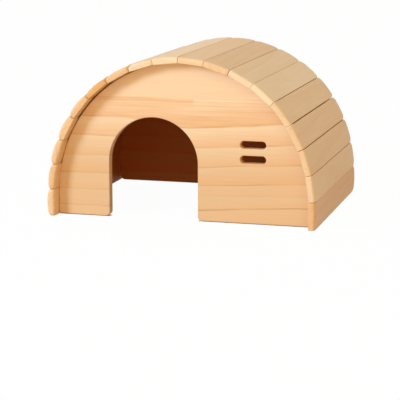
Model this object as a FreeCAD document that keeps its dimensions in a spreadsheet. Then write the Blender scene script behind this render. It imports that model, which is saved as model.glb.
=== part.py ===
import FreeCAD, Part
import math
import os

import Sketcher

# Driving sizes of the hideout, in millimetres, and the number of slats over the arch
SIZES = {
    # Arch of the slats' inner faces: upright feet, then half an ellipse
    "half_width": 95.1,
    "foot_height": 19.6,
    "spring_height": 14.5,
    "arch_rise": 100.6,
    # Slats, laid side by side from the left foot over the top to the right foot
    "slat_count": 18,
    "slat_length": 162.5,
    "slat_thickness": 5.6,
    "slat_gap": 0.2,
    "slat_round": 1.8,
    # Front and rear panels, set in from the slats' ends and held just off the floor
    "panel_thickness": 7.0,
    "front_inset": 10.0,
    "rear_inset": 3.0,
    "panel_lift": 0.4,
    "rear_foot_round": 4.5,
    # Doorway with a half-round head, left of the middle
    "door_width": 67.0,
    "door_height": 74.6,
    "door_offset": 21.4,
    "door_foot_round": 3.0,
    # Vent slots with half-round ends, one above the other, right of the middle
    "vent_count": 2,
    "vent_length": 19.0,
    "vent_height": 5.6,
    "vent_offset": 53.0,
    "vent_low": 46.9,
    "vent_pitch": 10.6,
    # Softened edges of the doorway and the vents
    "cut_edge_round": 0.6,
    # Headless pins, one through each slat into the edge of each panel, set below the slat's face
    "pin_diameter": 1.2,
    "pin_in_panel": 9.0,
    "pin_cover": 1.5,
    "pin_clearance": 0.05,
}

HALVINGS = 60
SAME = 1e-4
ORIGIN_POINT = (-1, 1)
START, END, CENTRE = 1, 2, 3

doc = FreeCAD.newDocument("hamster_hideout")
sheet = doc.addObject("Spreadsheet::Sheet", "Sizes")


# Sheet of sizes, in two columns: name and number
def fill_sheet(sizes, first_row):
    for row, (alias, value) in enumerate(sizes.items(), first_row):
        sheet.set(f"A{row}", alias)
        sheet.set(f"B{row}", repr(value))
        sheet.setAlias(f"B{row}", alias)
    doc.recompute()


fill_sheet(SIZES, 1)
size = {alias: sheet.get(alias) for alias in SIZES}


# Joints between slats: corners of the slats' inner faces, spaced by equal chords over the arch
def arch_joints():
    chords = round(size["slat_count"]) - 2
    first = (-size["half_width"], size["foot_height"])
    last = (size["half_width"], size["foot_height"])
    start = math.asin(max(0.0, size["foot_height"] - size["spring_height"]) / size["arch_rise"])

    def on_arch(turn):
        across = -size["half_width"] * math.cos(turn)
        return across, size["spring_height"] + size["arch_rise"] * math.sin(turn)

    def walk(chord):
        points = [first]
        low = start
        for _ in range(chords - 1):
            high = math.pi
            for _ in range(HALVINGS):
                turn = (low + high) / 2
                if math.dist(on_arch(turn), points[-1]) < chord:
                    low = turn
                else:
                    high = turn
            points.append(on_arch(low))
        return points

    low, high = 0.0, 2 * (size["half_width"] + size["arch_rise"]) / chords
    for _ in range(HALVINGS):
        chord = (low + high) / 2
        left_over = math.dist(walk(chord)[-1], last)
        if left_over > chord:
            low = chord
        else:
            high = chord
    return walk(low) + [last], low


joints, chord = arch_joints()
worked_out = {
    "slat_width": chord - size["slat_gap"],
    "foot_slat_width": size["foot_height"] - size["slat_gap"] / 2,
}
for number, (across, up) in enumerate(joints):
    worked_out[f"joint_across_{number:02d}"] = across
    worked_out[f"joint_up_{number:02d}"] = up
fill_sheet(worked_out, len(SIZES) + 1)


# Sketches: each dimension starts at the sheet's value and stays tied to it
def sketch_on(body, role, name):
    plane = next(p for p in body.Origin.OriginFeatures if p.Role == role)
    sketch = body.newObject("Sketcher::SketchObject", name)
    sketch.AttachmentSupport = [(plane, "")]
    sketch.MapMode = "FlatFace"
    return sketch


def dimension(sketch, kind, ends, name, expression):
    value = float(sketch.evalExpression(expression))
    index = sketch.addConstraint(Sketcher.Constraint(kind, *ends, value))
    sketch.renameConstraint(index, name)
    sketch.setExpression(f"Constraints.{name}", expression)


def place_point(sketch, point, name, across, up):
    for kind, way, expression in (("DistanceX", "across", across), ("DistanceY", "up", up)):
        if float(sketch.evalExpression(expression)) < 0:
            dimension(sketch, kind, (*point, *ORIGIN_POINT), f"{name}_{way}", f"-({expression})")
        else:
            dimension(sketch, kind, (*ORIGIN_POINT, *point), f"{name}_{way}", expression)


def polygon(sketch, corners):
    ring = [FreeCAD.Vector(x, y, 0) for x, y in corners]
    for here, there in zip(ring, ring[1:] + ring[:1]):
        sketch.addGeometry(Part.LineSegment(here, there))
    for line in range(len(ring)):
        next_line = (line + 1) % len(ring)
        sketch.addConstraint(Sketcher.Constraint("Coincident", line, END, next_line, START))


def edges_where(feature, test):
    return [f"Edge{i}" for i, edge in enumerate(feature.Shape.Edges, 1) if test(edge)]


def round_edges(body, feature, name, expression, test):
    rounds = body.newObject("PartDesign::Fillet", name)
    rounds.Base = (feature, edges_where(feature, test))
    rounds.setExpression("Radius", expression)
    doc.recompute()
    return rounds


BORE_RADIUS = "Sizes.pin_diameter / 2 + Sizes.pin_clearance"
FRONT_PIN_LINE = "Sizes.front_inset + Sizes.panel_thickness / 2"
REAR_PIN_LINE = "Sizes.slat_length - Sizes.rear_inset - Sizes.panel_thickness / 2"


# Roof slats: flat strips with rounded outer edges and ends, drawn lying on their inner faces
def roof_slat(label, width, placement):
    body = doc.addObject("PartDesign::Body", label)
    body.Label = label
    body.Placement = placement

    outline = sketch_on(body, "XY_Plane", f"{label}_outline")
    wide = float(outline.evalExpression(width))
    long = size["slat_length"]
    polygon(outline, [(0, 0), (wide, 0), (wide, long), (0, long)])
    outline.addConstraint(Sketcher.Constraint("Coincident", 0, START, *ORIGIN_POINT))
    for line, lie in enumerate(("Horizontal", "Vertical", "Horizontal", "Vertical")):
        outline.addConstraint(Sketcher.Constraint(lie, line))
    dimension(outline, "DistanceX", (0, START, 0, END), "wide", width)
    dimension(outline, "DistanceY", (1, START, 1, END), "long", "Sizes.slat_length")
    strip = body.newObject("PartDesign::Pad", f"{label}_strip")
    strip.Profile = outline
    strip.setExpression("Length", "Sizes.slat_thickness")
    doc.recompute()

    half_thick = size["slat_thickness"] / 2
    round_edges(body, strip, f"{label}_rounds", "Sizes.slat_round", lambda e: e.BoundBox.ZMax > half_thick)

    bores = sketch_on(body, "XY_Plane", f"{label}_pin_bores")
    for circle, pin_line in enumerate((FRONT_PIN_LINE, REAR_PIN_LINE)):
        middle = FreeCAD.Vector(wide / 2, float(bores.evalExpression(pin_line)), 0)
        radius = float(bores.evalExpression(BORE_RADIUS))
        bores.addGeometry(Part.Circle(middle, FreeCAD.Vector(0, 0, 1), radius))
        place_point(bores, (circle, CENTRE), f"bore_{circle}", f"{width} / 2", pin_line)
        dimension(bores, "Radius", (circle,), f"bore_{circle}_radius", BORE_RADIUS)
    drilled = body.newObject("PartDesign::Pocket", f"{label}_drilled")
    drilled.Profile = bores
    drilled.Reversed = True
    drilled.setExpression("Length", "Sizes.slat_thickness - Sizes.pin_cover + Sizes.pin_clearance")
    doc.recompute()
    return body


feet = [(-size["half_width"], 0.0), (size["half_width"], 0.0)]
corners = feet[:1] + joints + feet[1:]
slats = []
seats = []
for number, (here, there) in enumerate(zip(corners, corners[1:]), 1):
    is_foot = number in (1, len(corners) - 1)
    lean = math.atan2(there[1] - here[1], there[0] - here[0])
    step_in = 0.0 if number == 1 else size["slat_gap"] / 2
    edge = FreeCAD.Vector(
        here[0] + step_in * math.cos(lean),
        -size["slat_length"] / 2,
        here[1] + step_in * math.sin(lean),
    )
    placement = FreeCAD.Placement(edge, FreeCAD.Rotation(FreeCAD.Vector(0, 1, 0), -math.degrees(lean)))
    width = "Sizes.foot_slat_width" if is_foot else "Sizes.slat_width"
    slats.append(roof_slat(f"roof_slat_{number:02d}", width, placement))
    seats.append((placement, float(sheet.evalExpression(width)) / 2))


# Panels: one board each, cut to the slats' inner faces so that every slat seats flat on its edge
def arch_board(label, front):
    body = doc.addObject("PartDesign::Body", label)
    body.Label = label
    body.setExpression("Placement.Base.y", front)

    outline = sketch_on(body, "XZ_Plane", f"{label}_outline")
    ring = [("-Sizes.half_width", "Sizes.panel_lift")]
    for number in range(len(joints)):
        ring.append((f"Sizes.joint_across_{number:02d}", f"Sizes.joint_up_{number:02d}"))
    ring.append(("Sizes.half_width", "Sizes.panel_lift"))
    polygon(outline, [[float(outline.evalExpression(e)) for e in corner] for corner in ring])
    for line, (across, up) in enumerate(ring):
        place_point(outline, (line, START), f"corner_{line:02d}", across, up)
    board = body.newObject("PartDesign::Pad", f"{label}_board")
    board.Profile = outline
    board.Reversed = True
    board.setExpression("Length", "Sizes.panel_thickness")
    doc.recompute()
    return body, board


def drill_panel(body, label, pin_line):
    for number, (placement, middle) in enumerate(seats, 1):
        bore = body.newObject("PartDesign::SubtractiveCylinder", f"{label}_bore_{number:02d}")
        bore.setExpression("Radius", BORE_RADIUS)
        bore.setExpression("Height", "Sizes.pin_in_panel + Sizes.pin_clearance + Sizes.slat_thickness")
        depth = -size["pin_in_panel"] - size["pin_clearance"]
        mouth = FreeCAD.Vector(middle, float(sheet.evalExpression(pin_line)), depth)
        bore.Placement = body.Placement.inverse() * placement * FreeCAD.Placement(mouth, FreeCAD.Rotation())
    doc.recompute()


def runs_through(across):
    """A test for the edge that runs from front to back at the panel's underside, at a distance across."""
    def test(edge):
        box = edge.BoundBox
        low = abs(box.ZMax - size["panel_lift"]) < SAME
        return low and box.YLength > SAME and abs(box.XMin - across) < SAME and box.XLength < SAME
    return test


# Front panel: doorway open to the floor, and vent slots
front_panel, board = arch_board("front_panel", "-Sizes.slat_length / 2 + Sizes.front_inset")

doorway = sketch_on(front_panel, "XZ_Plane", "doorway")
door_radius = size["door_width"] / 2
door_middle = -size["door_offset"]
door_spring = size["door_height"] - door_radius
left_foot = FreeCAD.Vector(door_middle - door_radius, 0, 0)
left_top = FreeCAD.Vector(door_middle - door_radius, door_spring, 0)
right_top = FreeCAD.Vector(door_middle + door_radius, door_spring, 0)
right_foot = FreeCAD.Vector(door_middle + door_radius, 0, 0)
head = Part.Circle(FreeCAD.Vector(door_middle, door_spring, 0), FreeCAD.Vector(0, 0, 1), door_radius)
doorway.addGeometry(Part.LineSegment(left_foot, left_top))
doorway.addGeometry(Part.ArcOfCircle(head, 0, math.pi))
doorway.addGeometry(Part.LineSegment(right_top, right_foot))
doorway.addGeometry(Part.LineSegment(right_foot, left_foot))
for constraint in (
    ("Tangent", 0, END, 1, END),
    ("Tangent", 2, START, 1, START),
    ("Coincident", 2, END, 3, START),
    ("Coincident", 3, END, 0, START),
    ("Vertical", 0),
    ("Vertical", 2),
    ("PointOnObject", 3, START, -1),
    ("PointOnObject", 3, END, -1),
):
    doorway.addConstraint(Sketcher.Constraint(*constraint))
place_point(doorway, (1, CENTRE), "head", "-Sizes.door_offset", "Sizes.door_height - Sizes.door_width / 2")
dimension(doorway, "Radius", (1,), "head_radius", "Sizes.door_width / 2")
door_cut = front_panel.newObject("PartDesign::Pocket", "door_cut")
door_cut.Profile = doorway
door_cut.Type = "ThroughAll"
doc.recompute()

left_corner = runs_through(left_foot.x)
right_corner = runs_through(right_foot.x)
round_edges(
    front_panel, door_cut, "door_feet", "Sizes.door_foot_round", lambda e: left_corner(e) or right_corner(e)
)

vents = sketch_on(front_panel, "XZ_Plane", "vents")
vent_radius = size["vent_height"] / 2
vent_reach = (size["vent_length"] - size["vent_height"]) / 2
vent_count = round(size["vent_count"])
rise = FreeCAD.Vector(0, vent_radius, 0)
normal = FreeCAD.Vector(0, 0, 1)
quarter = math.pi / 2
for slot in range(vent_count):
    up = size["vent_low"] + slot * size["vent_pitch"]
    left = FreeCAD.Vector(size["vent_offset"] - vent_reach, up, 0)
    right = FreeCAD.Vector(size["vent_offset"] + vent_reach, up, 0)
    left_end, under, right_end, over = range(4 * slot, 4 * slot + 4)
    vents.addGeometry(Part.ArcOfCircle(Part.Circle(left, normal, vent_radius), quarter, 3 * quarter))
    vents.addGeometry(Part.LineSegment(left - rise, right - rise))
    vents.addGeometry(Part.ArcOfCircle(Part.Circle(right, normal, vent_radius), -quarter, quarter))
    vents.addGeometry(Part.LineSegment(right + rise, left + rise))
    for first, second in ((left_end, under), (under, right_end), (right_end, over), (over, left_end)):
        vents.addConstraint(Sketcher.Constraint("Tangent", first, END, second, START))
    vents.addConstraint(Sketcher.Constraint("Equal", left_end, right_end))
    height = f"Sizes.vent_low + {slot} * Sizes.vent_pitch"
    reach = "(Sizes.vent_length - Sizes.vent_height) / 2"
    place_point(vents, (left_end, CENTRE), f"left_{slot}", f"Sizes.vent_offset - {reach}", height)
    place_point(vents, (right_end, CENTRE), f"right_{slot}", f"Sizes.vent_offset + {reach}", height)
    dimension(vents, "Radius", (left_end,), f"end_{slot}", "Sizes.vent_height / 2")
vent_cut = front_panel.newObject("PartDesign::Pocket", "vent_cut")
vent_cut.Profile = vents
vent_cut.Type = "ThroughAll"
doc.recompute()


def borders_a_cut(edge):
    """Whether an edge of the board's face goes round the doorway or a vent."""
    middle = edge.BoundBox.Center
    on_a_face = edge.BoundBox.YLength < SAME
    by_door = abs(middle.x - door_middle) < door_radius + size["door_foot_round"]
    by_vent = abs(middle.x - size["vent_offset"]) < size["vent_length"] / 2
    below_door_top = middle.z < size["door_height"] + SAME
    top_vent = size["vent_low"] + (vent_count - 1) * size["vent_pitch"]
    above_vents_foot = middle.z > size["vent_low"] - size["vent_height"]
    below_vents_top = middle.z < top_vent + size["vent_height"]
    return on_a_face and (by_door and below_door_top or by_vent and above_vents_foot and below_vents_top)


round_edges(front_panel, vent_cut, "cut_edges", "Sizes.cut_edge_round", borders_a_cut)
drill_panel(front_panel, "front_panel", FRONT_PIN_LINE)

# Rear panel: closed, with its two lower corners rounded off
rear_start = "Sizes.slat_length / 2 - Sizes.rear_inset - Sizes.panel_thickness"
rear_panel, board = arch_board("rear_panel", rear_start)
left_end = runs_through(-size["half_width"])
right_end = runs_through(size["half_width"])
round_edges(
    rear_panel, board, "rear_feet", "Sizes.rear_foot_round", lambda e: left_end(e) or right_end(e)
)
drill_panel(rear_panel, "rear_panel", REAR_PIN_LINE)


# Pins: one for each slat at each panel, kept together as one set per panel
def slat_pins(label, pin_line):
    pins = []
    for number, (placement, middle) in enumerate(seats, 1):
        pin = doc.addObject("Part::Cylinder", f"{label}_{number:02d}")
        pin.setExpression("Radius", "Sizes.pin_diameter / 2")
        pin.setExpression("Height", "Sizes.pin_in_panel + Sizes.slat_thickness - Sizes.pin_cover")
        point = FreeCAD.Vector(middle, float(sheet.evalExpression(pin_line)), -size["pin_in_panel"])
        pin.Placement = placement * FreeCAD.Placement(point, FreeCAD.Rotation())
        pins.append(pin)
    pin_set = doc.addObject("Part::Compound", label)
    pin_set.Label = label
    pin_set.Links = pins
    return pin_set


pin_sets = [slat_pins("front_slat_pins", FRONT_PIN_LINE), slat_pins("rear_slat_pins", REAR_PIN_LINE)]
doc.recompute()

# Every feature has to be sound before anything is written
for feature in doc.Objects:
    if "Invalid" in feature.State or "Error" in feature.State:
        raise RuntimeError(f"{feature.Label} failed: {feature.State}")

pieces = [front_panel, rear_panel] + slats + pin_sets
for piece in pieces:
    if piece.Shape.isNull() or not piece.Shape.isValid():
        raise RuntimeError(f"{piece.Label} has no valid shape")

os.makedirs("parts", exist_ok=True)
for piece in pieces:
    piece.Shape.exportStep(os.path.join("parts", f"{piece.Label}.step"))
    box = piece.Shape.BoundBox
    print(
        f"{piece.Label}: {len(piece.Shape.Solids)} solids, volume {piece.Shape.Volume:.1f}, "
        f"x {box.XMin:.2f} {box.XMax:.2f}, y {box.YMin:.2f} {box.YMax:.2f}, z {box.ZMin:.2f} {box.ZMax:.2f}"
    )
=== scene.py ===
import math

import bmesh
import bpy
from mathutils import Matrix, Vector


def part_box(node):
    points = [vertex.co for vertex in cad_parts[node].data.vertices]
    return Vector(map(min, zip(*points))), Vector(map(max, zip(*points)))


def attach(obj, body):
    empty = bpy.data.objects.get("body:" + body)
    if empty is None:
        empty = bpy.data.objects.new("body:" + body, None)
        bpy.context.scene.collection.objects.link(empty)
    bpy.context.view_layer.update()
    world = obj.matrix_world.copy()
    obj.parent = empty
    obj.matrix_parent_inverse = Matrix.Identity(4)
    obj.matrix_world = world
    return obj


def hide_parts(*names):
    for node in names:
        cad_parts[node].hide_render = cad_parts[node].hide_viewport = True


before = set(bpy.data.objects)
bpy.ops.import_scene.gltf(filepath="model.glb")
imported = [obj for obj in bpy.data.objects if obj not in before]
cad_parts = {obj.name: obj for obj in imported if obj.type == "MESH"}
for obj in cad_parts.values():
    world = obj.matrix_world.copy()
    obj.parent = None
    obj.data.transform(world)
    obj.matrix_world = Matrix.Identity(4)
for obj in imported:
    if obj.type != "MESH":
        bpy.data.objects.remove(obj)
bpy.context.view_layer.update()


# Front panel
# The face of the house: a 7 mm pine board with a doorway and two air slots, sawn to the arch of the roof.
# Its sawn edges are eased with sandpaper, and the roof slats are pinned to its curved edge.
# Sizes are in mm, and its reach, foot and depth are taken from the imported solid.
MM = 0.001
SIDE_PLAY, BOARD_MIDDLE_UP = 0.7, 15.5
BOARD_CORNER = 0.8
DOOR_MIDDLE, DOOR_SPRING, DOOR_RADIUS = -21.4, 41.1, 33.5
DOOR_FOOT_ROUND = 3.0
SLOT_MIDDLE, SLOT_HEIGHTS = 53.0, (46.9, 57.5)
SLOT_REACH, SLOT_RADIUS = 6.7, 2.8
EASED_EDGE = 0.6
CORNER_STEPS, FOOT_STEPS, SLOT_STEPS, DOOR_STEPS, ARCH_STEPS = 4, 10, 16, 60, 120
SHARP_DEGREES = 12


def in_mm(metres):
    """A size taken from the frame, in mm to a thousandth."""
    return round(metres / MM, 3)


def bow(middle, radii, start, end, steps):
    """Points of a part of a circle or ellipse, across and up in mm, from one angle to another in degrees."""
    points = []
    for step in range(steps + 1):
        turn = math.radians(start + (end - start) * step / steps)
        points.append((middle[0] + radii[0] * math.cos(turn), middle[1] + radii[1] * math.sin(turn)))
    return points


def sawn_board(name, outlines, near, far, ease):
    """A board between two depths, sawn to closed outlines across and up in mm, with eased edges."""
    pattern = bpy.data.curves.new(name, "CURVE")
    pattern.dimensions = "2D"
    pattern.fill_mode = "BOTH"
    pattern.extrude = (far - near) / 2 - ease * MM
    pattern.bevel_depth = ease * MM
    pattern.bevel_resolution = 2
    pattern.offset = -ease * MM
    for outline in outlines:
        saw_line = pattern.splines.new("POLY")
        saw_line.points.add(len(outline) - 1)
        for point, (across, up) in zip(saw_line.points, outline):
            point.co = (across * MM, up * MM, 0, 1)
        saw_line.use_cyclic_u = True
    sawing = bpy.data.objects.new(name, pattern)
    bpy.context.scene.collection.objects.link(sawing)
    graph = bpy.context.evaluated_depsgraph_get()
    mesh = bpy.data.meshes.new_from_object(sawing.evaluated_get(graph))
    bpy.data.objects.remove(sawing)
    mesh.transform(Matrix.Translation((0, (near + far) / 2, 0)) @ Matrix.Rotation(math.pi / 2, 4, "X"))
    shape = bmesh.new()
    shape.from_mesh(mesh)
    bmesh.ops.remove_doubles(shape, verts=shape.verts, dist=1e-6)
    bmesh.ops.recalc_face_normals(shape, faces=shape.faces)
    for face in shape.faces:
        face.smooth = True
    for edge in shape.edges:
        edge.smooth = edge.calc_face_angle(0) < math.radians(SHARP_DEGREES)
    shape.to_mesh(mesh)
    shape.free()
    mesh.name = name
    board = bpy.data.objects.new(name, mesh)
    bpy.context.scene.collection.objects.link(board)
    return board


def paint(code):
    """A colour written as its sRGB hex code, in the linear values that a shader takes."""
    shares = [int(code[place:place + 2], 16) / 255 for place in (1, 3, 5)]
    linear = [share / 12.92 if share <= 0.04045 else ((share + 0.055) / 1.055) ** 2.4 for share in shares]
    return (*linear, 1.0)


# Kinds of node, and the inputs of a range: the two values that it reads between, and the two that it gives
MATH, VECTOR_MATH, MIX = "ShaderNodeMath", "ShaderNodeVectorMath", "ShaderNodeMix"
RANGE, NOISE, RAMP = "ShaderNodeMapRange", "ShaderNodeTexNoise", "ShaderNodeValToRGB"
APART, TOGETHER = "ShaderNodeSeparateXYZ", "ShaderNodeCombineXYZ"
READS, GIVES = (1, 2), (3, 4)


def add_node(tree, kind, inputs=None, **settings):
    """Adds a node with its settings, and gives its inputs values or other nodes' outputs.

    An input goes by its name or its number, and a pair of numbers takes a pair of values.
    """
    node = tree.nodes.new(kind)
    for setting, value in settings.items():
        setattr(node, setting, value)
    for key, value in (inputs or {}).items():
        if isinstance(key, tuple):
            for number, single in zip(key, value):
                node.inputs[number].default_value = single
            continue
        if isinstance(key, int):
            socket = node.inputs[key]
        else:
            socket = next(s for s in node.inputs if s.name == key and s.enabled)
        if isinstance(value, bpy.types.Node):
            value = next(s for s in value.outputs if s.enabled)
        if isinstance(value, bpy.types.NodeSocket):
            tree.links.new(value, socket)
        else:
            socket.default_value = value
    return node


def bare_material(name):
    """A new material with an empty tree of nodes, and that tree."""
    material = bpy.data.materials.new(name)
    material.use_nodes = True
    material.node_tree.nodes.clear()
    return material, material.node_tree


NOISE_SPAN = (0.25, 0.75)
WOOD_IOR, WOOD_SHEEN = 1.5, 0.3
RELIEF_DEEP, RELIEF_SHARE = 0.08, 0.25


def sanded_finish(tree, colour, darkness, roughness, streak, fibre):
    """Bare sanded wood over a colour: a dull sheen, less dull in dark wood, and a fine relief of grain."""
    gloss = add_node(tree, RANGE, {"Value": darkness, GIVES: roughness})
    relief = add_node(tree, MATH, {0: fibre, 1: streak}, operation="ADD")
    bump = add_node(tree, "ShaderNodeBump",
                    {"Strength": RELIEF_SHARE, "Distance": RELIEF_DEEP * MM, "Height": relief})
    wood = add_node(tree, "ShaderNodeBsdfPrincipled",
                    {"Base Color": colour, "Roughness": gloss, "IOR": WOOD_IOR,
                     "Specular IOR Level": WOOD_SHEEN, "Normal": bump})
    add_node(tree, "ShaderNodeOutputMaterial", {"Surface": wood})


# How the rings lie in a board, in mm: the size and reach of their waves, where across they climb and step,
# and at which heights the step sets in and dies out
WANDER_SIZE, WANDER_REACH = (60, 30, 16), 1.2
CLIMB_ACROSS, STEP_ACROSS = (5.0, 85.0), (-50.0, 8.0)
STEP_FOOT, STEP_HEAD = (16.0, 28.0), (68.0, 86.0)


def ring_height(tree, across, up, stock, rise, sink):
    """How high a spot lies among a flat-sawn board's rings, which wander, climb to one side and step down."""
    wander_place = add_node(tree, VECTOR_MATH, {0: stock, 1: WANDER_SIZE}, operation="DIVIDE")
    wander = add_node(tree, NOISE, {"Vector": wander_place, "Scale": 1.0, "Detail": 2.0})
    sway = add_node(tree, RANGE, {"Value": wander, GIVES: (-WANDER_REACH, WANDER_REACH)})
    climb = add_node(tree, RANGE, {"Value": across, READS: CLIMB_ACROSS, GIVES: (0.0, -rise)})
    step = add_node(tree, RANGE, {"Value": across, READS: STEP_ACROSS, GIVES: (0.0, sink)},
                    interpolation_type="SMOOTHSTEP")
    above_foot = add_node(tree, RANGE, {"Value": up, READS: STEP_FOOT}, interpolation_type="SMOOTHSTEP")
    below_head = add_node(tree, RANGE, {"Value": up, READS: STEP_HEAD, GIVES: (1.0, 0.0)},
                          interpolation_type="SMOOTHSTEP")
    belt = add_node(tree, MATH, {0: above_foot, 1: below_head}, operation="MULTIPLY")
    drop = add_node(tree, MATH, {0: step, 1: belt}, operation="MULTIPLY")
    lean = add_node(tree, MATH, {0: climb, 1: drop}, operation="ADD")
    bent = add_node(tree, MATH, {0: lean, 1: sway}, operation="ADD")
    return add_node(tree, MATH, {0: up, 1: bent}, operation="ADD")


RINGS_TOP = 120.0
RING_LINE_HALF = 0.6
BARE_BAND, CLEAR_BAND, FADED_SHARE = 0.1, 0.02, 0.4


def late_wood(tree, ring, rings):
    """Shares of late wood by height: bands that fade upwards from each ring as Red, thin lines as Green."""
    ring_share = add_node(tree, MATH, {0: ring, 1: RINGS_TOP}, operation="DIVIDE")
    bands = add_node(tree, RAMP, {"Fac": ring_share})
    stops = bands.color_ramp.elements
    for height, line, band, reach in rings:
        stops.new((height - RING_LINE_HALF) / RINGS_TOP).color = (CLEAR_BAND, 0, 0, 1)
        stops.new(height / RINGS_TOP).color = (band, line, 0, 1)
        stops.new((height + RING_LINE_HALF) / RINGS_TOP).color = (band, 0, 0, 1)
        stops.new((height + reach) / RINGS_TOP).color = (FADED_SHARE * band, 0, 0, 1)
    for end in (0, -1):
        stops[end].color = (BARE_BAND, 0, 0, 1)
    return add_node(tree, "ShaderNodeSeparateColor", {"Color": bands.outputs["Color"]}).outputs


# Grain of the boards: sizes are in mm, and tones are shares from early to late wood
STREAK_SIZE, STREAK_TONES = (45, 3, 1.1), (-0.1, 0.14)
FIBRE_SIZE, FIBRE_TONES = (14, 1.5, 0.35), (-0.05, 0.05)
PATCH_SIZE, PATCH_SPAN, LINE_LEVELS = (30, 30, 9), (0.35, 0.65), (0.3, 1.3)
TONGUE_TONE, TONGUE_EDGE, TONGUE_TIP = 0.36, (-0.2, 0.3), 1.0
RESIN_BELOW, RESIN_LEVELS = (-16.0, -10.0), (1.0, 2.2)
RESIN_ABOVE, RESIN_CLEAR = (-1.5, 1.5), (1.0, 0.2)
SAPWOOD_UP = (30.0, 95.0)
HEARTWOOD, SAPWOOD, LATE_BAND, RING_LINE = "#e4be8f", "#f9dbb2", "#e6a565", "#b0743c"
SAWN_EDGE, SAWN_SPAN, SAWN_SHARE = "#cf9558", (0.3, 1.0), 0.2
# Painted shade for the inside of the house: a dark orange that inner faces and undersides are multiplied by,
# and how far a face must turn inwards to take it
PAINTED_SHADE_INSIDE, PAINTED_SHADE_SPAN = "#e4a052", (0.6, 0.9)
BOARD_ROUGHNESS = (0.62, 0.5)


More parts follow.
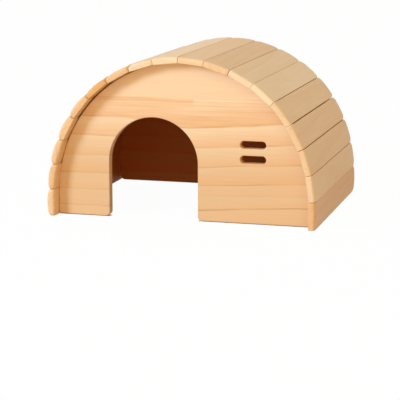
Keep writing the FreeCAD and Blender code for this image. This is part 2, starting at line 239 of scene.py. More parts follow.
def planed_pine_board(name, rings, tongue, rise, sink, shaded_side, seed):
    """Planed pine with its grain across: warm bands and thin brown lines of late wood, streaks and fibres.

    A ring is its height in mm, the strength of its line and of its band, and how far up the band fades.
    The tongue is where one ring leaves the face: its upper edge, how far down it fades, where across it ends.
    The face on the inner side, 1 for the rear face and -1 for the front one, is painted darker and more
    orange, as painted shade for the inside of the house.
    """
    pine, tree = bare_material(name)
    coordinates = add_node(tree, "ShaderNodeTexCoord").outputs
    board = add_node(tree, VECTOR_MATH, {0: coordinates["Object"], "Scale": 1 / MM}, operation="SCALE")
    on_board = add_node(tree, APART, {"Vector": board}).outputs
    stock = add_node(tree, VECTOR_MATH, {0: board, 1: (seed, 0, seed)}, operation="ADD")
    ring = ring_height(tree, on_board["X"], on_board["Z"], stock, rise, sink)
    late = late_wood(tree, ring, rings)

    # Streaks of resin are about 1 mm high; fibres are drawn at 0.35 mm, coarser than real ones, so as to show
    streak_place = add_node(tree, VECTOR_MATH, {0: stock, 1: STREAK_SIZE}, operation="DIVIDE")
    streak = add_node(tree, NOISE, {"Vector": streak_place, "Scale": 1.0, "Detail": 3.0}).outputs["Fac"]
    fibre_place = add_node(tree, VECTOR_MATH, {0: stock, 1: FIBRE_SIZE}, operation="DIVIDE")
    fibre = add_node(tree, NOISE, {"Vector": fibre_place, "Scale": 1.0, "Detail": 2.0}).outputs["Fac"]
    streak_tone = add_node(tree, RANGE, {"Value": streak, READS: NOISE_SPAN, GIVES: STREAK_TONES})
    fibre_tone = add_node(tree, RANGE, {"Value": fibre, READS: NOISE_SPAN, GIVES: FIBRE_TONES})

    # The tongue has a sharp upper edge and tip; resin is strongest below it and faint above
    tongue_up, tongue_fade, tongue_end = tongue
    tip = (tongue_end - TONGUE_TIP, tongue_end + TONGUE_TIP)
    off_tongue = add_node(tree, MATH, {0: ring, 1: tongue_up}, operation="SUBTRACT")
    faded = add_node(tree, RANGE,
                     {"Value": off_tongue, READS: (-tongue_fade, 0.0), GIVES: (0.0, TONGUE_TONE)})
    cut_off = add_node(tree, RANGE, {"Value": off_tongue, READS: TONGUE_EDGE, GIVES: (1.0, 0.0)})
    ended = add_node(tree, RANGE, {"Value": on_board["X"], READS: tip, GIVES: (1.0, 0.0)})
    kept_tongue = add_node(tree, MATH, {0: cut_off, 1: ended}, operation="MULTIPLY")
    tongued = add_node(tree, MATH, {0: faded, 1: kept_tongue, 2: late["Red"]}, operation="MULTIPLY_ADD")
    resin_near = add_node(tree, RANGE, {"Value": off_tongue, READS: RESIN_BELOW, GIVES: RESIN_LEVELS})
    resin_clear = add_node(tree, RANGE, {"Value": off_tongue, READS: RESIN_ABOVE, GIVES: RESIN_CLEAR})
    resin_share = add_node(tree, MATH, {0: resin_near, 1: resin_clear}, operation="MULTIPLY")
    resin = add_node(tree, MATH, {0: streak_tone, 1: resin_share}, operation="MULTIPLY")
    streaked = add_node(tree, MATH, {0: tongued, 1: resin}, operation="ADD")
    darkness = add_node(tree, MATH, {0: streaked, 1: fibre_tone}, operation="ADD", use_clamp=True)

    # Early wood pales towards the top of the board, and ring lines come and go in patches
    height_share = add_node(tree, RANGE, {"Value": ring, READS: SAPWOOD_UP}, interpolation_type="SMOOTHSTEP")
    early = add_node(tree, MIX, {"Factor": height_share, "A": paint(HEARTWOOD), "B": paint(SAPWOOD)},
                     data_type="RGBA")
    banded = add_node(tree, MIX, {"Factor": darkness, "A": early, "B": paint(LATE_BAND)}, data_type="RGBA")
    patch_place = add_node(tree, VECTOR_MATH, {0: stock, 1: PATCH_SIZE}, operation="DIVIDE")
    patch = add_node(tree, NOISE, {"Vector": patch_place, "Scale": 1.0, "Detail": 1.0})
    line_level = add_node(tree, RANGE, {"Value": patch, READS: PATCH_SPAN, GIVES: LINE_LEVELS})
    line_share = add_node(tree, MATH, {0: late["Green"], 1: line_level}, operation="MULTIPLY")
    grain = add_node(tree, MIX, {"Factor": line_share, "A": banded, "B": paint(RING_LINE)}, data_type="RGBA")

    # Sawn edges that cut across the fibres drink in more light, and the inner face gets painted shade: darker
    # and more orange, for the shade inside the house
    facing = add_node(tree, APART, {"Vector": coordinates["Normal"]}).outputs
    across_fibres = add_node(tree, MATH, {0: facing["X"]}, operation="ABSOLUTE")
    end_share = add_node(tree, RANGE, {"Value": across_fibres, READS: SAWN_SPAN, GIVES: (0.0, SAWN_SHARE)})
    sawn = add_node(tree, MIX, {"Factor": end_share, "A": grain, "B": paint(SAWN_EDGE)}, data_type="RGBA")
    inwards = add_node(tree, MATH, {0: facing["Y"], 1: shaded_side}, operation="MULTIPLY")
    painted_shade_share = add_node(tree, RANGE, {"Value": inwards, READS: PAINTED_SHADE_SPAN})
    colour = add_node(tree, MIX, {"Factor": painted_shade_share, "A": sawn, "B": paint(PAINTED_SHADE_INSIDE)},
                      data_type="RGBA", blend_type="MULTIPLY")
    sanded_finish(tree, colour, darkness, BOARD_ROUGHNESS, streak, fibre)
    return pine


front_low, front_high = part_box("front_panel")
board_reach = (in_mm(front_high.x) - SIDE_PLAY, in_mm(front_high.z) - BOARD_MIDDLE_UP)
board_foot = in_mm(front_low.z)
foot_reach = board_reach[0] - BOARD_CORNER
door_left = DOOR_MIDDLE - DOOR_RADIUS
door_right = DOOR_MIDDLE + DOOR_RADIUS
corner_up = board_foot + BOARD_CORNER
door_foot_up = board_foot + DOOR_FOOT_ROUND
corner_round = (BOARD_CORNER, BOARD_CORNER)
foot_round = (DOOR_FOOT_ROUND, DOOR_FOOT_ROUND)
face_outline = (
    bow((-foot_reach, corner_up), corner_round, 180, 270, CORNER_STEPS)
    + bow((door_left - DOOR_FOOT_ROUND, door_foot_up), foot_round, 270, 360, FOOT_STEPS)
    + bow((DOOR_MIDDLE, DOOR_SPRING), (DOOR_RADIUS, DOOR_RADIUS), 180, 0, DOOR_STEPS)
    + bow((door_right + DOOR_FOOT_ROUND, door_foot_up), foot_round, 180, 270, FOOT_STEPS)
    + bow((foot_reach, corner_up), corner_round, 270, 360, CORNER_STEPS)
    + bow((0, BOARD_MIDDLE_UP), board_reach, 0, 180, ARCH_STEPS)
)
slot_round = (SLOT_RADIUS, SLOT_RADIUS)
slot_outlines = [
    bow((SLOT_MIDDLE + SLOT_REACH, up), slot_round, -90, 90, SLOT_STEPS)
    + bow((SLOT_MIDDLE - SLOT_REACH, up), slot_round, 90, 270, SLOT_STEPS)
    for up in SLOT_HEIGHTS
]
front_board = sawn_board("front_board", [face_outline, *slot_outlines], front_low.y, front_high.y, EASED_EDGE)
FRONT_RINGS = [
    (7.9, 0.5, 0.2, 4), (20, 0.25, 0.2, 5), (32.2, 0.35, 0.4, 7), (45.6, 0.4, 0.4, 7), (60.2, 0.4, 0.45, 8),
    (74, 0.35, 0.6, 10),
]
FRONT_TONGUE = (88.8, 6.0, 9.0)
front_pine = planed_pine_board("planed pine, front board", FRONT_RINGS, FRONT_TONGUE, rise=5.2, sink=6.5,
                               shaded_side=1, seed=11.0)
front_board.data.materials.append(front_pine)
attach(front_board, "root")
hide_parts("front_panel")


# Rear panel
# The plain back of the house: the same arch in the same 7 mm pine, uncut, its lower corners rounder.
# The slats are pinned to it 3 mm inside their rear ends.
REAR_FOOT = 0.5
REAR_CORNER = 4.5
rear_low, rear_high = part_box("rear_panel")
rear_out = board_reach[0] - REAR_CORNER
rear_round = (REAR_CORNER, REAR_CORNER)
rear_up = REAR_FOOT + REAR_CORNER
back_outline = (
    bow((-rear_out, rear_up), rear_round, 180, 270, FOOT_STEPS)
    + bow((rear_out, rear_up), rear_round, 270, 360, FOOT_STEPS)
    + bow((0, BOARD_MIDDLE_UP), board_reach, 0, 180, ARCH_STEPS)
)
rear_board = sawn_board("rear_board", [back_outline], rear_low.y, rear_high.y, EASED_EDGE)
REAR_RINGS = [
    (8, 0.1, 0.9, 9), (25, 0.1, 0.7, 8), (37.5, 0.1, 0.5, 7), (49, 0.15, 0.6, 8), (63.5, 0.1, 0.5, 6),
    (75, 0.15, 0.5, 9),
]
REAR_TONGUE = (97.0, 6.0, -20.0)
rear_pine = planed_pine_board("planed pine, rear board", REAR_RINGS, REAR_TONGUE, rise=-4.0, sink=3.0,
                              shaded_side=-1, seed=173.0)
rear_board.data.materials.append(rear_pine)
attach(rear_board, "root")
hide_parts("rear_panel")


# Slat pins
# Headless steel pins, 1.2 mm thick, driven blind through each slat's underside into the edges of both panels.
# They stay as the solids give them, and are hidden in the wood.
DRAW_MARK = 0.25
STEEL_DARK, STEEL_BRIGHT = "#a3a5a8", "#c4c6c8"
STEEL_ROUGHNESS = (0.25, 0.45)
# Drawn wire is a plain grey, fairly bright, with small marks from the drawing that are lighter and duller
drawn_steel, wire = bare_material("drawn steel wire")
wire_place = add_node(wire, "ShaderNodeTexCoord").outputs["Object"]
wire_mm = add_node(wire, VECTOR_MATH, {0: wire_place, "Scale": 1 / MM}, operation="SCALE")
draw_marks = add_node(wire, NOISE, {"Vector": wire_mm, "Scale": 1 / DRAW_MARK, "Detail": 3.0})
wire_shade = add_node(wire, MIX, {"Factor": draw_marks, "A": paint(STEEL_DARK), "B": paint(STEEL_BRIGHT)},
                      data_type="RGBA")
wire_gloss = add_node(wire, RANGE, {"Value": draw_marks, GIVES: STEEL_ROUGHNESS})
wire_steel = add_node(wire, "ShaderNodeBsdfPrincipled",
                      {"Base Color": wire_shade, "Metallic": 1.0, "Roughness": wire_gloss})
add_node(wire, "ShaderNodeOutputMaterial", {"Surface": wire_steel})
for pin_set in ("front_slat_pins", "rear_slat_pins"):
    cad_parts[pin_set].data.materials.clear()
    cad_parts[pin_set].data.materials.append(drawn_steel)


# Roof slats
# Eighteen planed pine slats laid side by side over the arch from floor to floor, each pinned to both panels.
# They are cut by hand, so ends and gaps differ a little; ends are rounded over, long edges only just eased.
SLAT_COUNT = 18
PITCH_GAP = 0.2
ARCH_MIDDLE_UP = 14.5
foot_low, foot_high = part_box("roof_slat_01")
slat_long = in_mm(foot_high.y - foot_low.y)
foot_top = in_mm(foot_high.z) + PITCH_GAP / 2
seat_reach = (in_mm(front_high.x), in_mm(front_high.z) - ARCH_MIDDLE_UP)

# Grain of the slats in mm, across, along and through: rings round the heart of a log, streaks and fibres.
# A ring has no late wood at its start and end, and between them these shares of it at these places.
RING_WIDE, RING_TONE = 3.2, 0.08
RING_SHARES = ((0.5, 0.12), (0.93, 1.0))
STRAY_SIZE, STRAY_REACH = (25, 90, 25), 5.0
LOG_TAPER = (1.0, 0.015, 1.0)
SLAT_STREAK_SIZE, SLAT_STREAK_TONES = (1.2, 50, 2), (-0.055, 0.07)
SLAT_FIBRE_SIZE, SLAT_FIBRE_TONES = (0.35, 12, 0.5), (-0.04, 0.04)
SLAT_PALE, SLAT_ORANGE = "#fee9c6", "#dd9f52"
UNDERSIDE_SPAN = (0.3, 0.05)
SLAT_ROUGHNESS = (0.6, 0.5)


def planed_pine_slat():
    """Planed pine with its grain along the slat, pale to orange by the slat's own tone, with faint rings.

    Fibres are drawn at 0.35 mm, coarser than real ones, so that they show.
    """
    pine, tree = bare_material("planed pine, roof slat")
    stock = add_node(tree, "ShaderNodeAttribute", attribute_name="stock").outputs["Vector"]
    tone = add_node(tree, "ShaderNodeAttribute", attribute_name="tone").outputs["Fac"]
    stray_place = add_node(tree, VECTOR_MATH, {0: stock, 1: STRAY_SIZE}, operation="DIVIDE")
    stray = add_node(tree, NOISE, {"Vector": stray_place, "Scale": 1.0, "Detail": 2.0}).outputs["Color"]
    stray_mm = add_node(tree, VECTOR_MATH, {0: stray, "Scale": STRAY_REACH}, operation="SCALE")
    log_place = add_node(tree, VECTOR_MATH, {0: stock, 1: stray_mm}, operation="ADD")
    log_flat = add_node(tree, VECTOR_MATH, {0: log_place, 1: LOG_TAPER}, operation="MULTIPLY")
    log_radius = add_node(tree, VECTOR_MATH, {0: log_flat}, operation="LENGTH").outputs["Value"]
    ring_count = add_node(tree, MATH, {0: log_radius, 1: RING_WIDE}, operation="DIVIDE")
    ring_share = add_node(tree, MATH, {0: ring_count}, operation="FRACT")
    late = add_node(tree, RAMP, {"Fac": ring_share})
    stops = late.color_ramp.elements
    for place_in_ring, late_share in RING_SHARES:
        stops.new(place_in_ring).color = (late_share, late_share, late_share, 1)
    for end in (0, -1):
        stops[end].color = (0, 0, 0, 1)
    rings = add_node(tree, MATH, {0: late.outputs["Color"], 1: RING_TONE}, operation="MULTIPLY")
    streak_place = add_node(tree, VECTOR_MATH, {0: stock, 1: SLAT_STREAK_SIZE}, operation="DIVIDE")
    streak = add_node(tree, NOISE, {"Vector": streak_place, "Scale": 1.0, "Detail": 3.0}).outputs["Fac"]
    fibre_place = add_node(tree, VECTOR_MATH, {0: stock, 1: SLAT_FIBRE_SIZE}, operation="DIVIDE")
    fibre = add_node(tree, NOISE, {"Vector": fibre_place, "Scale": 1.0, "Detail": 2.0}).outputs["Fac"]
    streak_tone = add_node(tree, RANGE, {"Value": streak, READS: NOISE_SPAN, GIVES: SLAT_STREAK_TONES})
    fibre_tone = add_node(tree, RANGE, {"Value": fibre, READS: NOISE_SPAN, GIVES: SLAT_FIBRE_TONES})
    ring_tone = add_node(tree, MATH, {0: rings, 1: tone}, operation="ADD")
    rough_tone = add_node(tree, MATH, {0: streak_tone, 1: fibre_tone}, operation="ADD")
    darkness = add_node(tree, MATH, {0: ring_tone, 1: rough_tone}, operation="ADD", use_clamp=True)
    grain = add_node(tree, MIX, {"Factor": darkness, "A": paint(SLAT_PALE), "B": paint(SLAT_ORANGE)},
                     data_type="RGBA")

    # The underside between the panels gets painted shade: darker and more orange, for the shade inside the
    # house
    height = add_node(tree, "ShaderNodeAttribute", attribute_name="height").outputs["Fac"]
    under = add_node(tree, RANGE, {"Value": height, READS: UNDERSIDE_SPAN})
    place = add_node(tree, "ShaderNodeTexCoord").outputs["Object"]
    behind = add_node(tree, APART, {"Vector": place}).outputs["Y"]
    past_front = add_node(tree, MATH, {0: behind, 1: front_high.y}, operation="GREATER_THAN")
    before_rear = add_node(tree, MATH, {0: behind, 1: rear_low.y}, operation="LESS_THAN")
    indoors = add_node(tree, MATH, {0: past_front, 1: before_rear}, operation="MULTIPLY")
    painted_shade_share = add_node(tree, MATH, {0: under, 1: indoors}, operation="MULTIPLY")
    colour = add_node(tree, MIX, {"Factor": painted_shade_share, "A": grain, "B": paint(PAINTED_SHADE_INSIDE)},
                      data_type="RGBA", blend_type="MULTIPLY")
    sanded_finish(tree, colour, darkness, SLAT_ROUGHNESS, streak, fibre)
    return pine


# A blank of many small faces, closer together near its edges, which the nodes below plane to shape.
# Three values are for the middle, front and rear of a slat, and two for front and rear, but for End Round
# they are for above and below, for Gap Below for left and right, and for Tone for inner and outer wood.
BLANK_POINTS = {"Vertices X": 19, "Vertices Y": 33, "Vertices Z": 15}
BLANK_CROWDING = (2.2, 2.4, 2.0)
END_ZONE = 9.0
FRONT_GAP_SPAN = (-1.0, -0.85)
HEART_SPAN = (0.3, 0.6)
NEARLY_ZERO = 1e-9
SLAT_INPUTS = {
    "Half Size": "NodeSocketVector", "End Round": "NodeSocketVector", "Edge Round": "NodeSocketVector",
    "Edge Round Below": "NodeSocketFloat", "Corner Round": "NodeSocketVector", "Crown": "NodeSocketVector",
    "Trim": "NodeSocketVector", "Left Gap": "NodeSocketVector", "Right Gap": "NodeSocketVector",
    "Gap Below": "NodeSocketVector", "Left Flare": "NodeSocketFloat", "Right Flare": "NodeSocketFloat",
    "Lean": "NodeSocketVector", "Seat": "NodeSocketVector", "Stock Shift": "NodeSocketVector",
    "Tone": "NodeSocketVector", "Wood": "NodeSocketMaterial",
}
planing = bpy.data.node_groups.new("planed slat", "GeometryNodeTree")
slat_sockets = {
    label: planing.interface.new_socket(label, in_out="INPUT", socket_type=kind).identifier
    for label, kind in SLAT_INPUTS.items()
}
planing.interface.new_socket("Slat", in_out="OUTPUT", socket_type="NodeSocketGeometry")
given = add_node(planing, "NodeGroupInput").outputs
parts = {
    label: add_node(planing, APART, {"Vector": given[label]}).outputs
    for label in ("Half Size", "End Round", "Edge Round", "Corner Round", "Crown", "Trim", "Left Gap",
                  "Right Gap", "Gap Below", "Tone")
}
half_size = given["Half Size"]
half_wide, half_long, half_thick = parts["Half Size"]["X"], parts["Half Size"]["Y"], parts["Half Size"]["Z"]
blank = add_node(planing, "GeometryNodeMeshCube", {"Size": (2, 2, 2), **BLANK_POINTS})
spot = add_node(planing, "GeometryNodeInputPosition")
side = add_node(planing, VECTOR_MATH, {0: spot}, operation="SIGN")
half = (0.5, 0.5, 0.5)
side_share = add_node(planing, VECTOR_MATH, {0: side, 1: half, 2: half}, operation="MULTIPLY_ADD")
to = add_node(planing, APART, {"Vector": side_share}).outputs
to_right, to_rear, to_top = to["X"], to["Y"], to["Z"]
spread = add_node(planing, VECTOR_MATH, {0: spot}, operation="ABSOLUTE")
from_rim = add_node(planing, VECTOR_MATH, {0: (1, 1, 1), 1: spread}, operation="SUBTRACT")
crowded = add_node(planing, VECTOR_MATH, {0: from_rim, 1: BLANK_CROWDING}, operation="POWER")
depth = add_node(planing, VECTOR_MATH, {0: crowded, 1: half_size}, operation="MULTIPLY")
reach = add_node(planing, VECTOR_MATH, {0: half_size, 1: depth}, operation="SUBTRACT")
depths = add_node(planing, APART, {"Vector": depth}).outputs
near_end = add_node(planing, RANGE, {"Value": depths["Y"], READS: (END_ZONE * MM, 0.0)},
                    interpolation_type="SMOOTHSTEP")

# The rounding of each edge draws the outline in by more the nearer a row lies to the top or the underside
edge_at_end = add_node(planing, MIX,
                       {"Factor": to_rear, "A": parts["Edge Round"]["Y"], "B": parts["Edge Round"]["Z"]})
edge_above = add_node(planing, MIX, {"Factor": near_end, "A": parts["Edge Round"]["X"], "B": edge_at_end})
edge_round = add_node(planing, MIX, {"Factor": to_top, "A": given["Edge Round Below"], "B": edge_above})
end_round = add_node(planing, MIX,
                     {"Factor": to_top, "A": parts["End Round"]["Y"], "B": parts["End Round"]["X"]})
rounds = add_node(planing, TOGETHER, {"X": edge_round, "Y": end_round})
sunk = add_node(planing, VECTOR_MATH, {0: rounds, 1: depths["Z"]}, operation="SUBTRACT")
above = add_node(planing, VECTOR_MATH, {0: sunk}, operation="MAXIMUM")
above_square = add_node(planing, VECTOR_MATH, {0: above, 1: above}, operation="MULTIPLY")
round_square = add_node(planing, VECTOR_MATH, {0: rounds, 1: rounds}, operation="MULTIPLY")
left_over = add_node(planing, VECTOR_MATH, {0: round_square, 1: above_square}, operation="SUBTRACT")
root_of = add_node(planing, VECTOR_MATH, {0: left_over, 1: half}, operation="POWER")
inset = add_node(planing, VECTOR_MATH, {0: rounds, 1: root_of}, operation="SUBTRACT")
limit = add_node(planing, VECTOR_MATH, {0: half_size, 1: inset}, operation="SUBTRACT")
limit_share = add_node(planing, VECTOR_MATH, {0: limit, 1: half_size}, operation="DIVIDE")
drawn_in = add_node(planing, VECTOR_MATH, {0: reach, 1: limit_share}, operation="MULTIPLY")

# The four corners of the plan are rounded by turning squares into circles
corner_size = add_node(planing, MIX,
                       {"Factor": to_rear, "A": parts["Corner Round"]["X"], "B": parts["Corner Round"]["Y"]})
corner = add_node(planing, TOGETHER, {"X": corner_size, "Y": corner_size})
core = add_node(planing, VECTOR_MATH, {0: limit, 1: corner}, operation="SUBTRACT")
past_core = add_node(planing, VECTOR_MATH, {0: drawn_in, 1: core}, operation="SUBTRACT")
past = add_node(planing, VECTOR_MATH, {0: past_core}, operation="MAXIMUM")
pasts = add_node(planing, APART, {"Vector": past}).outputs
flat_past = add_node(planing, TOGETHER, {"X": pasts["X"], "Y": pasts["Y"]})
farther = add_node(planing, MATH, {0: pasts["X"], 1: pasts["Y"]}, operation="MAXIMUM")
straight = add_node(planing, VECTOR_MATH, {0: flat_past}, operation="LENGTH").outputs["Value"]
above_zero = add_node(planing, MATH, {0: straight, 1: NEARLY_ZERO}, operation="MAXIMUM")
turn_in = add_node(planing, MATH, {0: farther, 1: above_zero}, operation="DIVIDE")
turned = add_node(planing, VECTOR_MATH, {0: flat_past, "Scale": turn_in}, operation="SCALE")
kept = add_node(planing, VECTOR_MATH, {0: drawn_in, 1: core}, operation="MINIMUM")
rounded = add_node(planing, VECTOR_MATH, {0: kept, 1: turned}, operation="ADD")
signed = add_node(planing, VECTOR_MATH, {0: rounded, 1: side}, operation="MULTIPLY")

# Each side gives way to its gap, which opens from the underside up and differs in the first 12 mm at the
# front, and each end gives way to its trim
signs = add_node(planing, APART, {"Vector": signed}).outputs
along = add_node(planing, MATH, {0: signs["Y"], 1: half_long}, operation="DIVIDE")
along_share = add_node(planing, RANGE, {"Value": along, READS: FRONT_GAP_SPAN},
                       interpolation_type="SMOOTHSTEP")
left_gap = add_node(planing, MIX,
                    {"Factor": along_share, "A": parts["Left Gap"]["X"], "B": parts["Left Gap"]["Y"]})
right_gap = add_node(planing, MIX,
                     {"Factor": along_share, "A": parts["Right Gap"]["X"], "B": parts["Right Gap"]["Y"]})
gap_above = add_node(planing, MIX, {"Factor": to_right, "A": left_gap, "B": right_gap})
up_share = add_node(planing, MATH, {0: signs["Z"], 1: half_thick}, operation="DIVIDE")
opening = add_node(planing, RANGE, {"Value": up_share, READS: (-1.0, 1.0)})
gap_below = add_node(planing, MIX,
                     {"Factor": to_right, "A": parts["Gap Below"]["X"], "B": parts["Gap Below"]["Y"]})
gap = add_node(planing, MIX, {"Factor": opening, "A": gap_below, "B": gap_above})
trim = add_node(planing, MIX, {"Factor": to_rear, "A": parts["Trim"]["X"], "B": parts["Trim"]["Y"]})
lost = add_node(planing, TOGETHER, {"X": gap, "Y": trim})
left_size = add_node(planing, VECTOR_MATH, {0: half_size, 1: lost}, operation="SUBTRACT")
size_share = add_node(planing, VECTOR_MATH, {0: left_size, 1: half_size}, operation="DIVIDE")
trimmed = add_node(planing, VECTOR_MATH, {0: signed, 1: size_share}, operation="MULTIPLY")

# The sides flare out from the underside up, so that neighbours meet on the arch, and sanding crowns the top
trims = add_node(planing, APART, {"Vector": trimmed}).outputs
height = add_node(planing, MATH, {0: trims["Z"], 1: half_thick}, operation="ADD")
flare = add_node(planing, MIX, {"Factor": to_right, "A": given["Left Flare"], "B": given["Right Flare"]})
flare_share = add_node(planing, MATH, {0: flare, 1: half_wide}, operation="DIVIDE")
widening = add_node(planing, MATH, {0: flare_share, 1: height, 2: 1.0}, operation="MULTIPLY_ADD")
flared = add_node(planing, MATH, {0: trims["X"], 1: widening}, operation="MULTIPLY")
across_share = add_node(planing, MATH, {0: trims["X"], 1: half_wide}, operation="DIVIDE")
across_square = add_node(planing, MATH, {0: across_share, 1: across_share}, operation="MULTIPLY")
crown_at_end = add_node(planing, MIX,
                        {"Factor": to_rear, "A": parts["Crown"]["Y"], "B": parts["Crown"]["Z"]})
crown = add_node(planing, MIX, {"Factor": near_end, "A": parts["Crown"]["X"], "B": crown_at_end})
swell = add_node(planing, MATH, {0: across_square, 1: crown}, operation="MULTIPLY")
thick = add_node(planing, MATH, {0: half_thick, 1: 2.0}, operation="MULTIPLY")
top_share = add_node(planing, MATH, {0: height, 1: thick}, operation="DIVIDE")
loss = add_node(planing, MATH, {0: swell, 1: top_share}, operation="MULTIPLY")
crowned = add_node(planing, MATH, {0: height, 1: loss}, operation="SUBTRACT")
formed = add_node(planing, TOGETHER, {"X": flared, "Y": trims["Y"], "Z": crowned})
planed = add_node(planing, "GeometryNodeSetPosition", {"Geometry": blank.outputs["Mesh"], "Position": formed})

# Each point keeps its place in the log and its height in mm, and its tone, so that the grain follows the slat
planed_spot = add_node(planing, "GeometryNodeInputPosition")
planed_mm = add_node(planing, VECTOR_MATH, {0: planed_spot, "Scale": 1 / MM}, operation="SCALE")
from_log = add_node(planing, VECTOR_MATH, {0: planed_mm, 1: given["Stock Shift"]}, operation="ADD")
height_mm = add_node(planing, APART, {"Vector": planed_mm}).outputs["Z"]
heart = add_node(planing, RANGE, {"Value": top_share, READS: HEART_SPAN}, interpolation_type="SMOOTHSTEP")
heart_tone = add_node(planing, MIX, {"Factor": heart, "A": parts["Tone"]["X"], "B": parts["Tone"]["Y"]})
marked = planed
for mark, value, kind in (("stock", from_log, "FLOAT_VECTOR"), ("height", height_mm, "FLOAT"),
                          ("tone", heart_tone, "FLOAT")):
    marked = add_node(planing, "GeometryNodeStoreNamedAttribute",
                      {"Geometry": marked, "Name": mark, "Value": value}, data_type=kind, domain="POINT")
lean_turn = add_node(planing, "FunctionNodeEulerToRotation", {"Euler": given["Lean"]})
seated = add_node(planing, "GeometryNodeTransform",
                  {"Geometry": marked, "Translation": given["Seat"], "Rotation": lean_turn})
smooth = add_node(planing, "GeometryNodeSetShadeSmooth", {"Geometry": seated})
whole = add_node(planing, "GeometryNodeRealizeInstances", {"Geometry": smooth})
finished = add_node(planing, "GeometryNodeSetMaterial", {"Geometry": whole, "Material": given["Wood"]})
add_node(planing, "NodeGroupOutput", {"Slat": finished})

# Corners of the slats' undersides: upright feet, then equal steps over half an ellipse
FINE_STEPS = 4000
foot_turn = math.degrees(math.asin((foot_top - ARCH_MIDDLE_UP) / seat_reach[1]))
fine_arch = bow((0, ARCH_MIDDLE_UP), seat_reach, 180 - foot_turn, foot_turn, FINE_STEPS)
walked = [0.0]
for here, there in zip(fine_arch, fine_arch[1:]):
    walked.append(walked[-1] + math.dist(here, there))
corners = [(-seat_reach[0], 0.0), (-seat_reach[0], foot_top)]
for joint in range(1, SLAT_COUNT - 2):
    wanted = walked[-1] * joint / (SLAT_COUNT - 2)
    corners.append(next(point for point, far in zip(fine_arch, walked) if far >= wanted))
corners += [(seat_reach[0], foot_top), (seat_reach[0], 0.0)]
runs = [Vector(there) - Vector(here) for here, there in zip(corners, corners[1:])]
leans = [math.atan2(run.y, run.x) for run in runs]

# In mm, from the left foot: how far each joint opens at its top, at the front and behind
JOINT_GAPS = [
    (0, 0), (0.3, 0.1), (0.6, 0.1), (0.6, 0.1), (0.3, 0.1), (0.5, 0.1), (0.3, 0.1), (0.2, 0.1), (0.2, 0.1),
    (0.25, 0.15), (0.0, 0.3), (0.4, 0.4), (0.1, 0.3), (-0.1, 0.4), (-0.1, 0.6), (0.3, 0.6), (0.1, 0.4),
    (0.25, 0.0), (0, 0),
]
# From the left foot, for each slat: its thickness, how far it stands off the arch, what is trimmed
# off its front and rear ends, all in mm, and the tones of its wood, inner and outer, from pale to orange
SLATS = [
    (6.0, -0.6, 0.3, 0.4, 0.0, 0.68),
    (6.0, -0.6, 0.5, 0.2, 0.0, 0.84),
    (5.8, 0.1, 0.2, 0.6, 0.16, 0.74),
    (5.9, 0.5, 0.6, 0.3, 0.28, 0.72),
    (5.35, 1.05, 0.3, 0.5, 0.36, 0.76),
    (4.9, 1.1, 0.2, 0.2, 0.56, 0.96),
    (4.8, 0.7, 0.2, 0.5, 0.44, 0.72),
    (4.8, 0.4, 0.5, 0.3, 0.3, 0.4),
    (4.8, 0.3, 0.3, 0.5, 0.22, 0.36),
    (4.6, 0.3, 0.3, 0.4, 0.4, 0.48),
    (4.7, 0.2, 0.2, 0.6, 0.6, 0.5),
    (4.7, 0.4, 0.5, 0.3, 0.6, 0.18),
    (4.8, 0.8, 0.3, 0.5, 0.48, 0.12),
    (4.7, 1.1, 0.6, 0.2, 0.6, 0.38),
    (5.0, 0.8, 0.2, 0.6, 0.52, 0.48),
    (5.0, 0.7, 0.5, 0.4, 0.56, 0.46),
    (5.0, 0.6, 0.4, 0.3, 0.48, 0.36),
    (5.1, 0.4, 0.0, 0.0, 0.42, 0.76),
]
# In mm: how far joints close at the underside, how ends and edges are rounded, and how the top is crowned;
# the ends of the first slats are well rounded below too
SHUT_BELOW = 0.16
ROUNDED_FEET, ROUNDED_BELOW, EASED_BELOW = 3, 2.2, 0.4
END_ROUND, LONG_EDGE, LONG_EDGE_BELOW, LONG_CROWN = 2.0, 0.25, 0.3, 0.12
REAR_EDGE, REAR_CORNER_ROUND, REAR_CROWN = 1.6, 2.6, 0.5
# The front ends of the first slats are sanded to a bulge: rounding of edge and corner, and crown
BULGED_SLATS = 8
BULGED_FRONT, PLAIN_FRONT = (2.6, 1.6, 1.2), (0.5, 0.6, 0.3)
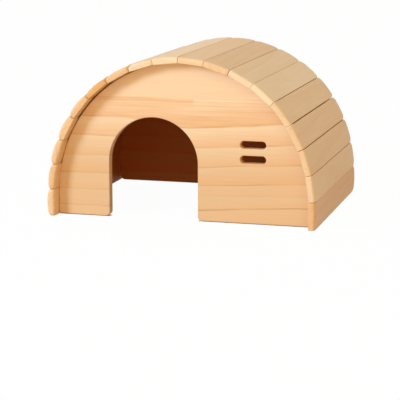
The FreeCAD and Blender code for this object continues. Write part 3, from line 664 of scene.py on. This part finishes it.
# Each slat is cut from another place in the log: beside its heart, along it and out from it, in mixed steps
LOG_SIDE, LOG_SIDE_STEP = -14.0, 7.3
LOG_OUT, LOG_OUT_STEP = 18.0, 5.1
LOG_ALONG_STEP = 310.0
pine_slat = planed_pine_slat()
for number, (thickness, stand_off, front_trim, rear_trim, inner_tone, outer_tone) in enumerate(SLATS, 1):
    first, last = number == 1, number == SLAT_COUNT
    run, lean = runs[number - 1], leans[number - 1]
    left_flare = 0.0 if first else math.tan((leans[number - 2] - lean) / 2)
    right_flare = 0.0 if last else math.tan((lean - leans[number]) / 2)
    from_left = (0.0 if first else PITCH_GAP / 2) - stand_off * left_flare
    from_right = (0.0 if last else PITCH_GAP / 2) - stand_off * right_flare
    wide = run.length - from_left - from_right
    outwards = Vector((-run.y, run.x)).normalized()
    seat = Vector(corners[number - 1]) + run.normalized() * (from_left + wide / 2) + outwards * stand_off
    front_edge, front_corner, front_crown = BULGED_FRONT if number <= BULGED_SLATS else PLAIN_FRONT
    end_below = ROUNDED_BELOW if number <= ROUNDED_FEET else EASED_BELOW
    shut_left = 0.0 if first else -SHUT_BELOW / 2
    shut_right = 0.0 if last else -SHUT_BELOW / 2
    log_side = LOG_SIDE + LOG_SIDE_STEP * (number * 5 % 7)
    log_out = LOG_OUT + LOG_OUT_STEP * (number * 3 % 8)
    sizes = {
        "Half Size": (wide / 2 * MM, slat_long / 2 * MM, thickness / 2 * MM),
        "End Round": (END_ROUND * MM, end_below * MM, 0),
        "Edge Round": (LONG_EDGE * MM, front_edge * MM, REAR_EDGE * MM),
        "Edge Round Below": LONG_EDGE_BELOW * MM,
        "Corner Round": (front_corner * MM, REAR_CORNER_ROUND * MM, 0),
        "Crown": (LONG_CROWN * MM, front_crown * MM, REAR_CROWN * MM),
        "Trim": (front_trim * MM, rear_trim * MM, 0),
        "Left Gap": [gap_size / 2 * MM for gap_size in JOINT_GAPS[number - 1]] + [0],
        "Right Gap": [gap_size / 2 * MM for gap_size in JOINT_GAPS[number]] + [0],
        "Gap Below": (shut_left * MM, shut_right * MM, 0),
        "Left Flare": left_flare,
        "Right Flare": right_flare,
        "Lean": (0, -lean, 0),
        "Seat": (seat.x * MM, 0, seat.y * MM),
        "Stock Shift": (log_side, LOG_ALONG_STEP * number, log_out),
        "Tone": (inner_tone, outer_tone, 0),
        "Wood": pine_slat,
    }
    bench = bpy.data.objects.new("slat blank", bpy.data.meshes.new("slat blank"))
    bpy.context.scene.collection.objects.link(bench)
    plane = bench.modifiers.new("planed slat", "NODES")
    plane.node_group = planing
    for label, value in sizes.items():
        plane[slat_sockets[label]] = value
    graph = bpy.context.evaluated_depsgraph_get()
    slat_mesh = bpy.data.meshes.new_from_object(bench.evaluated_get(graph), preserve_all_data_layers=True,
                                                depsgraph=graph)
    bpy.data.objects.remove(bench)
    slat_mesh.name = f"slat_{number:02d}"
    slat = bpy.data.objects.new(f"slat_{number:02d}", slat_mesh)
    bpy.context.scene.collection.objects.link(slat)
    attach(slat, "root")
    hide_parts(f"roof_slat_{number:02d}")


# Studio
# A plain white sweep, a soft lamp at the front left, a broad one at the front right, and an even room.
# The camera looks down a little from the right, far off, as the photograph was taken.
FLOOR_REACH = 4.0
PAPER, WHITE = "#d3bfa9", "#ffffff"
HELD_WHITE = 0.975
FEET_DEEP = 3.0


def background_share(tree):
    """One for rays that show the background, straight, in gloss or through glass, and nought for light."""
    ray = add_node(tree, "ShaderNodeLightPath").outputs
    seen = add_node(tree, MATH, {0: ray["Is Camera Ray"], 1: ray["Is Glossy Ray"]}, operation="MAXIMUM")
    return add_node(tree, MATH, {0: seen, 1: ray["Is Transmission Ray"]}, operation="MAXIMUM")


floor_mesh = bpy.data.meshes.new("studio floor")
floor_corners = [(across * FLOOR_REACH, deep * FLOOR_REACH, 0)
                 for across, deep in ((-1, -1), (1, -1), (1, 1), (-1, 1))]
floor_mesh.from_pydata(floor_corners, [], [(0, 1, 2, 3)])
floor = bpy.data.objects.new("studio floor", floor_mesh)
bpy.context.scene.collection.objects.link(floor)
# Matt paper that looks white all over; only under the two feet of the front board it isn't held at white,
# so that it darkens where they nearly touch
paper, sweep = bare_material("white studio paper")
paper_seen = background_share(sweep)
floor_place = add_node(sweep, "ShaderNodeTexCoord").outputs["Object"]
floor_mm = add_node(sweep, VECTOR_MATH, {0: floor_place, "Scale": 1 / MM}, operation="SCALE")
feet_middle = (0, (front_low.y + front_high.y) / 2 / MM, 0)
from_feet = add_node(sweep, VECTOR_MATH, {0: floor_mm, 1: feet_middle}, operation="SUBTRACT")
feet_away = add_node(sweep, VECTOR_MATH, {0: from_feet}, operation="ABSOLUTE")
away = add_node(sweep, APART, {"Vector": feet_away}).outputs
past_side = add_node(sweep, MATH, {0: away["X"], 1: board_reach[0]}, operation="GREATER_THAN")
floor_across = add_node(sweep, APART, {"Vector": floor_mm}).outputs["X"]
in_doorway = add_node(sweep, MATH, {0: floor_across, 1: DOOR_MIDDLE, 2: DOOR_RADIUS}, operation="COMPARE")
past_face = add_node(sweep, MATH, {0: away["Y"], 1: FEET_DEEP}, operation="GREATER_THAN")
open_side = add_node(sweep, MATH, {0: past_side, 1: in_doorway}, operation="MAXIMUM")
open_floor = add_node(sweep, MATH, {0: open_side, 1: past_face}, operation="MAXIMUM")
held_white = add_node(sweep, MATH, {0: open_floor, 1: HELD_WHITE}, operation="MULTIPLY")
whiteness = add_node(sweep, MATH, {0: paper_seen, 1: held_white}, operation="MULTIPLY")
paper_colour = add_node(sweep, MIX, {"Factor": paper_seen, "A": paint(PAPER), "B": paint(WHITE)},
                        data_type="RGBA")
matt = add_node(sweep, "ShaderNodeBsdfDiffuse", {"Color": paper_colour})
glow = add_node(sweep, "ShaderNodeEmission", {"Color": paint(WHITE), "Strength": 1.0})
lit_paper = add_node(sweep, "ShaderNodeMixShader", {0: whiteness, 1: matt, 2: glow})
add_node(sweep, "ShaderNodeOutputMaterial", {"Surface": lit_paper})
floor_mesh.materials.append(paper)

ROOM_TINT, ROOM_LEVELS = "#fff7e9", (0.6, 1.0)
room = bpy.data.worlds.new("white room")
room.use_nodes = True
air = room.node_tree
air.nodes.clear()
room_seen = background_share(air)
walls = add_node(air, MIX, {"Factor": room_seen, "A": paint(ROOM_TINT), "B": paint(WHITE)}, data_type="RGBA")
level = add_node(air, RANGE, {"Value": room_seen, GIVES: ROOM_LEVELS})
sky = add_node(air, "ShaderNodeBackground", {"Color": walls, "Strength": level})
add_node(air, "ShaderNodeOutputWorld", {"Surface": sky})
bpy.context.scene.world = room

LAMPS = {
    "softbox": {"towards": (-1.0, -1.0, 0.48), "far": 2.2, "size": 0.6, "energy": 36.5, "tint": "#cae0ff"},
    "fill": {"towards": (0.4, -1.0, 0.45), "far": 2.0, "size": 2.4, "energy": 15.2, "tint": "#ffe3a4"},
}
LAMPS_AIM = (0, 0, 0.05)
for lamp_name, lamp in LAMPS.items():
    light = bpy.data.lights.new(lamp_name, "AREA")
    light.shape = "SQUARE"
    light.size = lamp["size"]
    light.energy = lamp["energy"]
    light.color = paint(lamp["tint"])[:3]
    stand = bpy.data.objects.new(lamp_name, light)
    towards = Vector(lamp["towards"]).normalized()
    stand.location = towards * lamp["far"] + Vector(LAMPS_AIM)
    stand.rotation_euler = towards.to_track_quat("Z", "Y").to_euler()
    bpy.context.scene.collection.objects.link(stand)

EYE = (306.4, -1130.7, 233.9)
YAW, PITCH, ROLL = 14.657, 11.411, 0.151
FOCAL_PIXELS, IMAGE_PIXELS = 1550.5, 400
MIDDLE_PIXEL = (220.7, 205.2)
lens = bpy.data.cameras.new("camera")
lens.sensor_width = 36
lens.lens = lens.sensor_width * FOCAL_PIXELS / IMAGE_PIXELS
lens.shift_x = 0.5 - MIDDLE_PIXEL[0] / IMAGE_PIXELS
lens.shift_y = MIDDLE_PIXEL[1] / IMAGE_PIXELS - 0.5
camera = bpy.data.objects.new("camera", lens)
tilt = Matrix.Rotation(math.radians(90 - PITCH), 4, "X") @ Matrix.Rotation(math.radians(ROLL), 4, "Z")
camera.matrix_world = (
    Matrix.Translation([value * MM for value in EYE]) @ Matrix.Rotation(math.radians(YAW), 4, "Z") @ tilt
)
bpy.context.scene.collection.objects.link(camera)
bpy.context.scene.camera = camera
bpy.context.scene.view_settings.view_transform = "Standard"
